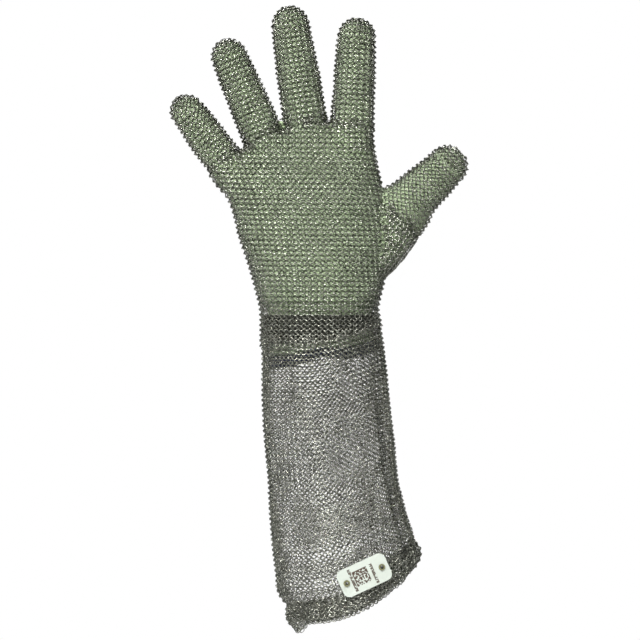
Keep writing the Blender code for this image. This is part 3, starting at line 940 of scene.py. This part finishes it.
def ink_material():
    m = Nodes("tag_ink")
    patches = m.noise(m.place(), 1200.0)
    colour = m.blend_colours(patches, (0.022, 0.012, 0.008, 1), (0.085, 0.05, 0.03, 1))
    m.set(Base_Color=colour, Roughness=m.span(patches, 0.3, 0.7, 0.55, 0.8))
    return m.material


def eyelet_material():
    m = Nodes("eyelet_metal")
    place = m.place()
    wear = m.noise(place, 1500.0)
    colour = m.blend_colours(wear, (0.06, 0.06, 0.03, 1), (0.20, 0.20, 0.12, 1))
    m.set(Base_Color=colour, Metallic=1.0, Roughness=m.span(wear, 0.3, 0.7, 0.25, 0.45))
    m.raise_by(wear, 0.00003, 0.4)
    return m.material


STAGE_GLOW = 0.85    # lifts the floor towards white for the camera alone


def stage_material():
    m = Nodes("studio_paper")
    cloud = m.noise(m.place(), 1.5)
    paper = m.blend_colours(cloud, (0.86, 0.86, 0.86, 1), (0.90, 0.90, 0.90, 1))
    seen = m.tree.nodes.new("ShaderNodeLightPath").outputs["Is Camera Ray"]
    m.set(Base_Color=paper, Roughness=m.span(cloud, 0.3, 0.7, 0.85, 0.95))
    m.set(Emission_Color=paper, Emission_Strength=m.maths("MULTIPLY", seen, STAGE_GLOW))
    m.raise_by(m.noise(m.place(), 400.0), 0.0002, 0.3)
    return m.material


def paint(ob, material):
    ob.data.materials.clear()
    ob.data.materials.append(material)


# ---------------- the mesh's pieces


STEEL = steel_material()
KNIT = knit_material()


def across_wrist(ob):
    """Bakes the transform of a piece from the cuff to the hand, over the wrist, into its mesh."""
    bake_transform(ob)


def base_blend(ob, digit):
    """Bakes the transform of a piece on the digit's base into its mesh. Its span, from the root to the
    middle of its lower half, is worked out but not used.
    """
    ends = digit.middle(0), digit.middle(piece_split(digit))
    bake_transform(ob)


def tip_blend(ob, digit):
    reach = digit.tip_hinge - piece_split(digit)
    ends = digit.middle(piece_split(digit)), digit.middle(digit.tip_hinge + reach)
    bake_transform(ob)


def piece_split(digit):
    """Where a digit's two pieces meet, between its hinges."""
    return SPLIT_SHARE * digit.tip_hinge


def ring_piece(name, rings, *nodes):
    ob = ring_mesh(name, rings)
    paint(ob, STEEL)
    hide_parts(*nodes)
    return ob


HAND_SPLIT_Z = 228.0
STILL_LENGTH = 4.0
STILL_SIDE = 1.2    # in half widths


def off_digits(rings):
    """The rings that aren't on a digit, beyond the part that hardly moves against the hand."""
    keep = np.ones(len(rings.at), bool)
    for digit in DIGIT_LIST:
        s, side = digit.place(rings.at)
        keep &= (s < STILL_LENGTH) | (side > STILL_SIDE)
    return rings.only(keep)


def make_hand_mesh():
    done = None
    for digit in DIGIT_LIST:
        rings = digit_rings(digit)
        if done is not None:
            rings = rings.apart_from(done)
        done = rings if done is None else done + rings
        s, _ = digit.place(rings.at)
        low = s < piece_split(digit)
        base = ring_piece(digit.name + "_rings_base", rings.only(low), digit.name + "_base_mesh")
        base_blend(base, digit)
        tip = ring_piece(digit.name + "_rings_tip", rings.only(~low), digit.name + "_tip_mesh")
        tip_blend(tip, digit)
    gusset = off_digits(gusset_rings()).apart_from(done)
    done = done + gusset
    piece = ring_piece("thumb_gusset_rings", gusset, "thumb_gusset_mesh")
    across_wrist(piece)
    saddles = off_digits(web_rings()).apart_from(done)
    done = done + saddles
    hand = off_digits(hand_rings()).apart_from(done) + saddles
    front, low = hand.at[:, 1] < 0, hand.at[:, 2] < HAND_SPLIT_Z
    for name, keep in (
        ("hand_back_rings_lower", front & low),
        ("hand_back_rings_upper", front & ~low),
        ("hand_palm_rings_lower", ~front & low),
        ("hand_palm_rings_upper", ~front & ~low),
    ):
        across_wrist(ring_piece(name, hand.only(keep), "palm_mesh", "wrist_skirt_mesh"))


CUFF_SPLIT_Z = 85.0


def make_cuff_mesh():
    rings = surface_rings(cuff_row_point, CUFF_ROW_COUNT, CUFF_RINGS_ROUND)
    front, upper = rings.at[:, 1] < 0, rings.at[:, 2] > CUFF_SPLIT_Z
    for name, keep in (
        ("cuff_rings_front_upper", front & upper),
        ("cuff_rings_front_lower", front & ~upper),
        ("cuff_rings_back_upper", ~front & upper),
        ("cuff_rings_back_lower", ~front & ~upper),
    ):
        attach(ring_piece(name, rings.only(keep), "cuff_sleeve_mesh"), "cuff")
    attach(ring_piece("hem_rings", hem_rings(), "cuff_hem_mesh"), "cuff")


# ---------------- liner


LINER_FLARE_Z = (176.0, 190.0)    # the wrist's inset gives way to the hand's between these
HAND_FLATNESS = 1.5    # width over depth, for the stitches' angle round the hand
HAND_STITCH_R = 33.0    # the radius that turns this angle into a length
DIGIT_STITCH_R = 12.0
LINER_TRIM = 2.0    # the hand's knit ends this far above the edge band's lower line


def liner_shell(name, points, quads, stitch):
    used, numbers = np.unique(quads, return_inverse=True)
    ob = new_mesh(name, points[used], numbers.reshape(-1, 4))
    layer = ob.data.attributes.new("stitch", "FLOAT_VECTOR", "POINT")
    layer.data.foreach_set("vector", stitch[used].astype(np.float32).ravel())
    thick = ob.modifiers.new("thickness", "SOLIDIFY")
    thick.thickness = LINER_T * MM
    thick.offset = -1
    baked = with_modifiers(ob)
    ob.modifiers.clear()
    old = ob.data
    ob.data = baked
    bpy.data.meshes.remove(old)
    ob.data.name = name
    paint(ob, KNIT)
    return ob


def make_liner():
    """The knit hand under the mesh, cut where the digits begin and between their hinges."""
    x, y, z = FORM_POINTS.T
    inset = LINER_INSET + (WRIST_LINER_INSET - LINER_INSET) * (1 - ease(z, *LINER_FLARE_Z))
    for saddle, ahead in web_places():
        away = np.linalg.norm(FORM_POINTS * (1, 0.5, 1) - saddle - ahead * WEB_HOLLOW_AT, axis=1)
        inset = inset + WEB_HOLLOW * bump(away, 0, WEB_HOLLOW_WIDTH)
    points = FORM_POINTS - FORM_NORMALS * inset[:, None]
    centres = FORM_POINTS[FORM_QUADS].mean(axis=1)
    middle = hand_middle(z)
    turn = np.arctan2(x - middle, -y * HAND_FLATNESS)
    stitch = np.stack([turn * HAND_STITCH_R, z, 0 * z], -1)
    left = np.ones(len(FORM_QUADS), bool)
    for digit in DIGIT_LIST:
        mine = digit.owns(centres) & left
        left &= ~mine
        s, _ = digit.place(centres)
        along, _ = digit.place(FORM_POINTS)
        rel = FORM_POINTS - digit.middle(along)
        spin = np.arctan2(rel @ digit.across, -rel[:, 1])
        local = np.stack([spin * DIGIT_STITCH_R, along, 0 * z], -1)
        low = s < piece_split(digit)
        base = liner_shell("liner_" + digit.name + "_lower", points, FORM_QUADS[mine & low], local)
        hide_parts("liner_" + digit.name + "_base")
        base_blend(base, digit)
        tip = liner_shell("liner_" + digit.name + "_end", points, FORM_QUADS[mine & ~low], local)
        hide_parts("liner_" + digit.name + "_tip")
        tip_blend(tip, digit)
    left &= centres[:, 2] > liner_low(centres[:, 0]) + LINER_TRIM
    hand = liner_shell("liner_hand", points, FORM_QUADS[left], stitch)
    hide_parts("liner_palm", "liner_thumb_gusset", "liner_wrist")
    across_wrist(hand)


BAND_RISE = (0.0, 0.03, 0.12, 0.5, 0.88, 0.97, 1.0, 0.97, 0.88, 0.5, 0.12, 0.03)
BAND_DEPTH = (0.5, 0.15, 0.0, -0.08, 0.0, 0.15, 0.5, 0.85, 1.0, 1.0, 1.0, 0.85)


def band(name, low, high, inset, thickness, material):
    """A closed band round the wrist, with rounded edges."""
    turn = full_turn(180)
    sections = []
    for up, deep in zip(BAND_RISE, BAND_DEPTH):
        z = START_Z + 0 * turn
        for _ in range(2):
            x = cuff_point(turn, z, inset)[..., 0]
            z = low(x) + (high(x) - low(x)) * up
        sections.append(cuff_point(turn, z, inset + deep * thickness))
    ob = new_mesh(name, np.vstack(sections), grid_quads(len(sections), len(turn), True)[:, ::-1])
    paint(ob, material)
    return ob


STRAP_LOW_GAP = 1.5    # its lower edge above the skirt's
STRAP_INSET = 3.0
STRAP_T = 1.1


def make_strap():
    """The dark band round the wrist, behind the skirt: a strap whose near-black colour is partly
    painted shade for the wrist's recess there.
    """
    # Near-black colours: partly the strap's own dark colour and partly painted shade for the recess
    # behind the skirt.
    dark = thread_material("strap_webbing", (0.008, 0.009, 0.005, 1), (0.05, 0.052, 0.038, 1))
    ob = band("wrist_band_painted_shade", lambda x: skirt_low(x) + STRAP_LOW_GAP, lambda x: STRAP_HIGH_Z + 0 * x,
              STRAP_INSET, STRAP_T, dark)
    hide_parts("wrist_strap")
    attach(ob, "cuff")


BINDING_SPAN = (-1.0, 5.0)    # its edges against the liner's lower edge
BINDING_INSET = 3.5
BINDING_T = 1.6
STITCHES = 150
STITCH_POINTS = 10
STITCH_MIDDLE = 2.0    # the thread's middle above the liner's lower edge
STITCH_HALF = (3.7, 1.15)    # half its height and half its depth
STITCH_INSET = 4.1
THREAD_R = 0.42


def make_binding():
    """The liner's overlocked edge: a turned band and the thread that wraps it."""
    navy = thread_material("overlock_thread", (0.006, 0.008, 0.020, 1), (0.030, 0.038, 0.10, 1))
    below, above = BINDING_SPAN
    ob = band("liner_edge_band", lambda x: liner_low(x) + below, lambda x: liner_low(x) + above,
              BINDING_INSET, BINDING_T, navy)
    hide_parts("liner_edge_binding")
    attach(ob, "cuff")
    count = STITCHES * STITCH_POINTS
    turn = full_turn(count)
    phase = full_turn(STITCH_POINTS)[np.arange(count) % STITCH_POINTS]
    x = cuff_point(turn, 150.0, 4.0)[..., 0]
    z = liner_low(x) + STITCH_MIDDLE - STITCH_HALF[0] * np.cos(phase)
    points = cuff_point(turn, z, STITCH_INSET - STITCH_HALF[1] * np.sin(phase))
    curve = bpy.data.curves.new("liner_edge_stitching", "CURVE")
    curve.dimensions = "3D"
    curve.bevel_depth = THREAD_R * MM
    curve.bevel_resolution = 1
    spline = curve.splines.new("POLY")
    spline.points.add(count - 1)
    spline.points.foreach_set("co", np.hstack([points * MM, np.ones((count, 1))]).ravel())
    spline.use_cyclic_u = True
    thread = add_object("liner_edge_stitching", curve)
    paint(thread, navy)
    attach(thread, "cuff")


# ---------------- tag


def tag_frame():
    """The tag's middle on its front face, its long, upward and outward directions."""
    low, high = (np.array(c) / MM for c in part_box("tag_plate"))
    lean, turn = math.radians(TAG_LEAN), math.radians(TAG_TURN)
    long = np.array([math.cos(lean) * math.cos(turn), math.cos(lean) * math.sin(turn), math.sin(lean)])
    out = np.array([math.sin(turn), -math.cos(turn), 0.0])
    middle = (low + high) / 2 + out * TAG_SIZE[2] / 2
    return middle, long, np.cross(long, out), out


BOX_FACES = ((4, 6, 7, 5), (1, 3, 2, 0), (2, 3, 7, 6), (4, 5, 1, 0), (1, 5, 7, 3), (2, 6, 4, 0))


def add_box(bm, centre, axes, size):
    """A box with the given half sizes along three axes."""
    signs = [(i, j, k) for i in (-1, 1) for j in (-1, 1) for k in (-1, 1)]
    shifts = [sum(a * h * n for a, h, n in zip(axes, size, sign)) for sign in signs]
    corners = [bm.verts.new((centre + shift) * MM) for shift in shifts]
    for face in BOX_FACES:
        bm.faces.new([corners[i] for i in face])


CODE_CELLS = 14
CODE_CELL = 0.70
CODE_SHIFT = -1.8    # from the tag's middle along its length
CODE_FILL = 0.58
BARS = ((-8.0, 24, 0.0), (6.1, 21, 1.4))    # place along the tag, dots in a line, shift upwards
BAR_LINES = 3
BAR_PITCH = 0.62
BAR_FILL = 0.74
BAR_DOT = (0.29, 0.27)    # half sizes
INK_T = 0.03    # half thickness


def make_tag_print():
    """A generic block pattern and plain bars in place of the tag's code and words."""
    middle, long, up, out = tag_frame()
    axes = (long, up, out)
    bm = bmesh.new()
    filled = rng.random((CODE_CELLS, CODE_CELLS)) < CODE_FILL
    filled[0, :] = filled[:, 0] = True
    for i, j in zip(*np.nonzero(filled)):
        shift = (np.array([i, j]) - (CODE_CELLS - 1) / 2) * CODE_CELL
        centre = middle + long * (shift[0] + CODE_SHIFT) + up * shift[1] + out * INK_T
        add_box(bm, centre, axes, (CODE_CELL * 0.49, CODE_CELL * 0.49, INK_T))
    for column, dots, lift in BARS:
        for i, j in zip(*np.nonzero(rng.random((BAR_LINES, dots)) < BAR_FILL)):
            right = column + (i - 1) * BAR_PITCH
            high = (j - (dots - 1) / 2) * BAR_PITCH + lift
            add_box(bm, middle + long * right + up * high + out * INK_T, axes, (*BAR_DOT, INK_T))
    mesh = bpy.data.meshes.new("tag_print")
    bm.to_mesh(mesh)
    bm.free()
    ob = add_object("tag_print", mesh)
    paint(ob, ink_material())
    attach(ob, "cuff")


def paint_tag():
    plastic, metal = plastic_material(), eyelet_material()
    paint(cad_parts["tag_plate"], plastic)
    for side in ("left", "right"):
        paint(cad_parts["tag_eyelet_" + side], metal)


# ---------------- studio


FLOOR_DROP = 350.0
FLOOR_RADII = (1.0, 600.0, 1800.0, 3600.0)


def make_stage():
    """A plain pale floor, a round sheet under the glove, which hangs in the air above it."""
    turn = full_turn(96)
    floor = CAD_BOX[0][2] / MM - FLOOR_DROP
    rings = [np.stack([r * np.cos(turn), r * np.sin(turn), floor + 0 * turn], -1) for r in FLOOR_RADII]
    ob = new_mesh("studio_floor", np.vstack(rings), grid_quads(len(rings), len(turn)))
    paint(ob, stage_material())


def area_light(name, place, size, power):
    """A square light. Its place and size are in metres."""
    data = bpy.data.lights.new(name, "AREA")
    data.size = size
    data.energy = power
    ob = add_object(name, data)
    ob.location = place
    ob.rotation_euler = (Vector(LIGHT_AIM) - Vector(place)).to_track_quat("-Z", "Y").to_euler()


LIGHT_AIM = (-0.02, 0.0, 0.17)


def make_lights():
    area_light("key", (-0.6, -1.6, 1.5), 0.45, 84.0)
    area_light("fill", (0.3, -2.2, 0.1), 0.5, 7.0)
    area_light("back", (0.5, 2.2, 1.2), 0.8, 24.0)
    make_world()


SKY_LOW = 0.01
SKY_HIGH = 0.08


def make_world():
    """A white backdrop for the camera, and soft light that is brighter above than below."""
    world = bpy.data.worlds.new("studio")
    world.use_nodes = True
    tree = world.node_tree
    link = tree.links.new
    backdrop = tree.nodes["Background"]
    output = tree.nodes["World Output"]
    backdrop.inputs["Color"].default_value = (1, 1, 1, 1)
    backdrop.inputs["Strength"].default_value = 1.0
    kinds = ("Background", "TexCoord", "SeparateXYZ", "MapRange", "LightPath", "MixShader")
    soft, place, split, height, rays, mix = (tree.nodes.new("ShaderNode" + kind) for kind in kinds)
    for socket, number in zip(list(height.inputs)[1:5], (-1.0, 1.0, SKY_LOW, SKY_HIGH)):
        socket.default_value = number
    soft.inputs["Color"].default_value = (0.95, 0.98, 1.0, 1)
    link(place.outputs["Generated"], split.inputs[0])
    link(split.outputs[2], height.inputs[0])
    link(height.outputs[0], soft.inputs["Strength"])
    link(rays.outputs["Is Camera Ray"], mix.inputs[0])
    link(soft.outputs[0], mix.inputs[1])
    link(backdrop.outputs[0], mix.inputs[2])
    link(mix.outputs[0], output.inputs["Surface"])
    bpy.context.scene.world = world


FRAME_MIDDLE = (-0.02205, 0.0, 0.1751)
FRAME_WIDTH = 0.4032
CAMERA_DISTANCE = 6.0


def make_camera():
    """A long lens square to the back of the hand. The frame's sizes are in metres."""
    data = bpy.data.cameras.new("camera")
    data.sensor_width = 36.0
    data.lens = data.sensor_width * CAMERA_DISTANCE / FRAME_WIDTH
    ob = add_object("camera", data)
    ob.location = (FRAME_MIDDLE[0], -CAMERA_DISTANCE, FRAME_MIDDLE[2])
    ob.rotation_euler = (math.pi / 2, 0, 0)
    bpy.context.scene.camera = ob
    bpy.context.scene.view_settings.view_transform = "Standard"


make_hand_mesh()
make_cuff_mesh()
make_liner()
make_strap()
make_binding()
make_tag_print()
paint_tag()
make_stage()
make_lights()
make_camera()
